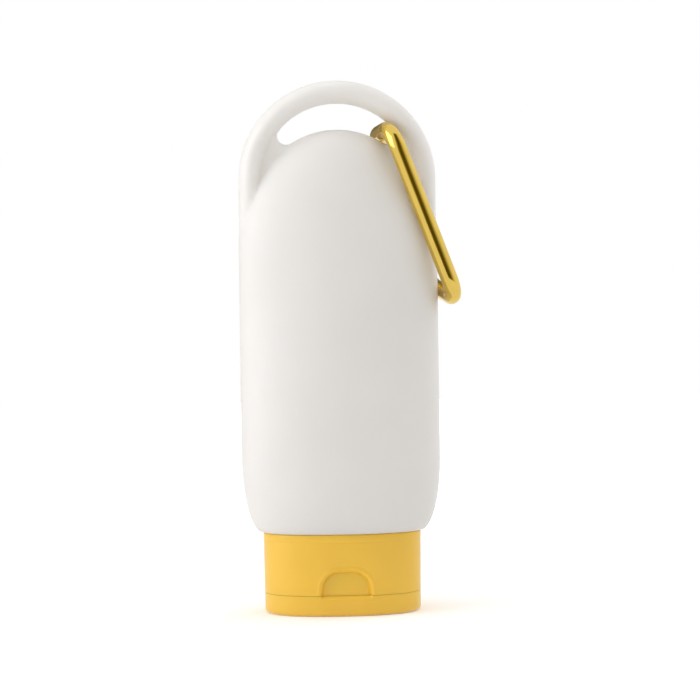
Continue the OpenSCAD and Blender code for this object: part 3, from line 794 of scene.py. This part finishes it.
def bottle_material():
    """Soft matte white plastic with the faint parting line of its mould."""
    white = (0.81, 0.797, 0.78)
    m = Finish("bottle_white", white, 0.42)
    m.tint(14, 1.0, times(white, 0.985), times(white, 1.01))
    m.rough(m.noise(3, 3.0), 0.40, 0.48)
    m.scatter(0.6, (1.0, 0.92, 0.82), 0.006)
    split = m.add("ShaderNodeSeparateXYZ")
    m.link(m.add("ShaderNodeTexCoord").outputs["Object"], split.inputs["Vector"])
    away = m.add("ShaderNodeMath", operation="ABSOLUTE")
    m.link(split.outputs["Y"], away.inputs[0])
    seam = m.add("ShaderNodeMapRange", interpolation_type="SMOOTHSTEP",
                 in_From_Min=0.05 * MM, in_From_Max=0.22 * MM, in_To_Min=1.0, in_To_Max=0.0)
    m.link(away.outputs[0], seam.inputs["Value"])
    m.bumps((m.noise(0.22, 3.0), 0.006), (m.noise(14, 1.0), 0.05), (seam.outputs["Result"], 0.03))
    return m.material


def cap_material():
    """Yellow plastic, a little glossier than the bottle."""
    yellow = (0.90, 0.55, 0.042)
    m = Finish("cap_yellow", yellow, 0.34)
    m.shader.inputs["Specular IOR Level"].default_value = 0.65
    m.tint(9, 1.0, times(yellow, 0.97), times(yellow, 1.02))
    m.rough(m.noise(2, 3.0), 0.31, 0.38)
    m.scatter(0.3, (1.0, 0.55, 0.15), 0.0015)
    m.bumps((m.noise(0.2, 3.0), 0.005), (m.noise(5, 1.0), 0.015))
    return m.material


def gold_material(name, wire):
    """Polished gold aluminium. On the wire, its fine marks run along the bends."""
    gold = (0.78, 0.55, 0.12)
    m = Finish(name, gold, 0.1, 1.0)
    if wire:
        where = m.add("ShaderNodeTexCoord").outputs["UV"]
        marks = m.noise(1000, 3.0, where, (70, 4, 1))
        wobble = m.noise(1000, 1.0, where, (3, 22, 1))
    else:
        marks, wobble = m.noise(0.35, 3.0), m.noise(3, 1.0)
    m.tint(4, 2.0, times(gold, 0.93), times(gold, 1.03))
    m.rough(marks, 0.06, 0.15)
    m.bumps((marks, 0.0015), (wobble, 0.012))
    return m.material


def steel_material():
    """Bright spring steel."""
    steel = (0.55, 0.55, 0.56)
    m = Finish("spring_steel", steel, 0.25, 1.0)
    m.tint(1, 2.0, times(steel, 0.9), times(steel, 1.05))
    m.rough(m.noise(0.3, 2.0), 0.2, 0.34)
    m.bumps((m.noise(0.15, 2.0), 0.001))
    return m.material


def foam_material():
    """Pale foam of the neck's gasket."""
    foam = (0.86, 0.86, 0.83)
    m = Finish("seal_foam", foam, 0.75)
    m.tint(0.5, 2.0, times(foam, 0.94), foam)
    m.rough(m.noise(0.6, 2.0), 0.7, 0.85)
    m.bumps((m.noise(0.3, 3.0), 0.02))
    return m.material


def paint(obj, material):
    """Gives a piece one material."""
    obj.data.materials.clear()
    obj.data.materials.append(material)


def paint_node(node, material):
    """Gives a CAD node a finish without a change to its mesh."""
    obj = frame["nodes"][node]
    if not obj.material_slots:
        obj.data.materials.append(material)
    for slot in obj.material_slots:
        slot.link = "OBJECT"
        slot.material = material


# The object

def place(piece, material, body, node=None):
    """Paints a piece, lets it ride on a body, and hides the CAD node that it stands for."""
    paint(piece, material)
    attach(piece, body)
    if node:
        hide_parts(node)


def dress():
    """Makes the visible pieces, and gives the CAD nodes that still show their materials."""
    white, yellow, steel, foam = bottle_material(), cap_material(), steel_material(), foam_material()
    gold, gold_wire = gold_material("gold_aluminium", False), gold_material("gold_wire", True)
    place(make_bottle(), white, "bottle", "bottle_shell")
    place(make_cap_base(), yellow, "bottle", "cap_base")
    place(make_lid(), yellow, "lid", "cap_lid")
    place(make_wire(), gold_wire, "carabiner", "carabiner_frame")
    place(make_tang(), gold, "carabiner")
    place(make_nose(), gold, "carabiner")
    for name, node, material, slot in (
            ("gate_body", "carabiner_gate", gold, "gold_aluminium"),
            ("gate_rivet_skin", "gate_rivet", gold, "gold_aluminium"),
            ("gate_catch_pin_skin", "gate_catch_pin", steel, "steel")):
        place(smooth_copy(name, node), material, "gate", node)
    for node, material in (("neck_gasket", foam), ("cap_hinge_strip", yellow),
                           ("gate_spring", steel), ("gate_plunger", steel)):
        paint_node(node, material)


# Studio

def add_camera():
    """The photograph's camera, a little to the left, with its small turn, tilt and roll."""
    place_mm, picture = Vector((-28.6, -409.0, 56.2)), 700
    lens, sensor = 99.7, 36
    right_pixels, down_pixels, roll = 10.4, 6, 0.014
    focal = lens / sensor * picture
    ahead = Vector((-place_mm.x, -place_mm.y, 0)).normalized()
    right = Vector((ahead.y, -ahead.x, 0))
    back = -(ahead + right * (right_pixels / focal) - Vector((0, 0, down_pixels / focal))).normalized()
    side = (Vector((0, 0, 1)) + right * roll).cross(back).normalized()
    data = bpy.data.cameras.new("camera")
    data.lens = lens
    data.sensor_width = sensor
    data.clip_start, data.clip_end = 0.01, 20
    camera = bpy.data.objects.new("camera", data)
    turn = Matrix((side, back.cross(side), back)).transposed().to_4x4()
    camera.matrix_world = Matrix.Translation(place_mm * MM) @ turn
    bpy.context.scene.collection.objects.link(camera)
    bpy.context.scene.camera = camera


def add_softbox(name, at, size, watts, colour=(1, 1, 1), mirrored=False):
    """A rectangular lamp that faces the bottle's middle, and that reflections show only if mirrored."""
    data = bpy.data.lights.new(name, "AREA")
    data.shape = "RECTANGLE"
    data.size, data.size_y = size
    data.energy = watts
    data.color = colour
    lamp = bpy.data.objects.new(name, data)
    lamp.location = at
    middle = Vector((0, 0, 0.06))
    lamp.rotation_euler = (middle - Vector(at)).to_track_quat("-Z", "Y").to_euler()
    lamp.visible_glossy = mirrored
    bpy.context.scene.collection.objects.link(lamp)


def split_rays(tree, lighting, seen):
    """One shader for what lights the object, and another for what is looked at.

    Looked at means by the camera, in a reflection or through something clear.
    """
    path = add_node(tree, "ShaderNodeLightPath")
    first = add_node(tree, "ShaderNodeMath", operation="MAXIMUM")
    second = add_node(tree, "ShaderNodeMath", operation="MAXIMUM")
    tree.links.new(path.outputs["Is Camera Ray"], first.inputs[0])
    tree.links.new(path.outputs["Is Glossy Ray"], first.inputs[1])
    tree.links.new(first.outputs[0], second.inputs[0])
    tree.links.new(path.outputs["Is Transmission Ray"], second.inputs[1])
    mix = add_node(tree, "ShaderNodeMixShader")
    tree.links.new(second.outputs[0], mix.inputs["Fac"])
    tree.links.new(lighting.outputs[0], mix.inputs[1])
    tree.links.new(seen.outputs[0], mix.inputs[2])
    return mix.outputs[0]


def add_world():
    """Soft light from all round, and plain white to look at."""
    world = bpy.data.worlds.new("studio")
    bpy.context.scene.world = world
    world.use_nodes = True
    tree = world.node_tree
    soft = tree.nodes["Background"]
    soft.inputs["Color"].default_value = (1.0, 0.985, 0.965, 1)
    soft.inputs["Strength"].default_value = 0.68
    white = add_node(tree, "ShaderNodeBackground", in_Color=(1, 1, 1, 1), in_Strength=1.0)
    tree.links.new(split_rays(tree, soft, white), tree.nodes["World Output"].inputs["Surface"])


def add_floor():
    """White paper that shows the bottle's shadow, and plain white in reflections."""
    half = 1500
    corners = [(-half, -half, 0), (half, -half, 0), (half, half, 0), (-half, half, 0)]
    floor = node_object("floor", corners, [(0, 1, 2, 3)])
    material = bpy.data.materials.new("floor_white")
    material.use_nodes = True
    tree = material.node_tree
    paper = tree.nodes["Principled BSDF"]
    paper.inputs["Base Color"].default_value = (0.92, 0.92, 0.92, 1)
    paper.inputs["Roughness"].default_value = 0.9
    paper.inputs["Specular IOR Level"].default_value = 0.0
    # the lamps fade away from the bottle, and there the paper's own glow takes over
    away = add_node(tree, "ShaderNodeVectorMath", operation="LENGTH")
    tree.links.new(add_node(tree, "ShaderNodeTexCoord").outputs["Object"], away.inputs[0])
    far = add_node(tree, "ShaderNodeMapRange",
                   in_From_Min=0.12, in_From_Max=0.5, in_To_Min=0.18, in_To_Max=1.0)
    tree.links.new(away.outputs["Value"], far.inputs["Value"])
    glow = add_node(tree, "ShaderNodeEmission")
    tree.links.new(far.outputs["Result"], glow.inputs["Strength"])
    lit = add_node(tree, "ShaderNodeAddShader")
    tree.links.new(paper.outputs[0], lit.inputs[0])
    tree.links.new(glow.outputs[0], lit.inputs[1])
    seen = add_node(tree, "ShaderNodeMixShader")
    tree.links.new(add_node(tree, "ShaderNodeLightPath").outputs["Is Camera Ray"], seen.inputs["Fac"])
    tree.links.new(add_node(tree, "ShaderNodeEmission").outputs[0], seen.inputs[1])
    tree.links.new(lit.outputs[0], seen.inputs[2])
    tree.links.new(split_rays(tree, paper, seen), tree.nodes["Material Output"].inputs["Surface"])
    paint(floor, material)


def card_material(name, stops):
    """What a card gives back along its length, from (share of the length, colour) stops."""
    material = bpy.data.materials.new(name)
    material.use_nodes = True
    tree = material.node_tree
    tree.nodes.remove(tree.nodes["Principled BSDF"])
    split = add_node(tree, "ShaderNodeSeparateXYZ")
    ramp = add_node(tree, "ShaderNodeValToRGB")
    glow = add_node(tree, "ShaderNodeEmission")
    tree.links.new(add_node(tree, "ShaderNodeTexCoord").outputs["UV"], split.inputs["Vector"])
    tree.links.new(split.outputs["X"], ramp.inputs["Fac"])
    tree.links.new(ramp.outputs["Color"], glow.inputs["Color"])
    tree.links.new(glow.outputs[0], tree.nodes["Material Output"].inputs["Surface"])
    ramp.color_ramp.interpolation = "B_SPLINE"
    while len(ramp.color_ramp.elements) < len(stops):
        ramp.color_ramp.elements.new(0.5)
    for element, (share, colour) in zip(ramp.color_ramp.elements, stops):
        element.position = share
        element.color = (*colour, 1)
    return material


def add_flag(name, radius, bottom, top, stops):
    """A soft-edged dark card that curves round the carabiner's bar and that only reflections show.

    A photographer's flag gives polished metal its dark line like this. Each stop is an angle in
    degrees to the right of the front, seen from the bar, and what the card gives back there.
    """
    bar_x, bar_y, columns = 0.017, -0.007, 49
    first, last = stops[0][0], stops[-1][0]
    shares = np.linspace(0, 1, columns)
    arc = np.radians(first + (last - first) * shares)
    points = [(bar_x + radius * math.sin(a), bar_y - radius * math.cos(a), z)
              for z in (bottom, top) for a in arc]
    mesh = bpy.data.meshes.new(name)
    mesh.from_pydata(points, [], [(i, i + 1, columns + i + 1, columns + i) for i in range(columns - 1)])
    uv = mesh.uv_layers.new(name="card")
    for loop in mesh.loops:
        uv.data[loop.index].uv = (shares[loop.vertex_index % columns], loop.vertex_index // columns)
    card = bpy.data.objects.new(name, mesh)
    bpy.context.scene.collection.objects.link(card)
    paint(card, card_material(name, [((angle - first) / (last - first), colour) for angle, colour in stops]))
    card.visible_camera = card.visible_diffuse = card.visible_shadow = False


def light():
    """World, floor and lamps, and the dark cards that the polished metal reflects."""
    add_world()
    add_floor()
    add_softbox("key_left", (-0.78, -0.18, 0.22), (0.7, 0.9), 3.65, (1.0, 0.99, 1.0), mirrored=True)
    add_softbox("rim_right", (0.60, 0.45, 0.25), (0.5, 0.8), 1.7)
    add_softbox("top", (0.0, -0.05, 0.85), (0.7, 0.7), 1.6)
    white, brown, bronze, cream = (1, 1, 1), (0.11, 0.085, 0.008), (0.16, 0.12, 0.03), (0.9, 0.9, 0.85)
    add_flag("flag_front", 0.40, 0.001, 1.1, [
        (-36, white), (-26, (0.95, 0.95, 0.9)), (-17, (0.40, 0.37, 0.2)), (-8, brown),
        (10, (0.09, 0.07, 0.004)), (27, brown), (44, (0.58, 0.56, 0.38)), (62, (0.92, 0.92, 0.8)),
        (80, white)])
    add_flag("flag_left", 0.50, 0.001, 0.9, [
        (-165, (0.35, 0.30, 0.2)), (-140, (0.3, 0.25, 0.15)), (-122, (0.75, 0.72, 0.6)), (-108, white)])
    add_flag("flag_back", 0.50, 0.125, 0.5, [(158, cream), (168, bronze), (198, bronze), (208, cream)])


add_camera()
dress()
light()
bpy.context.scene.view_settings.view_transform = "Standard"
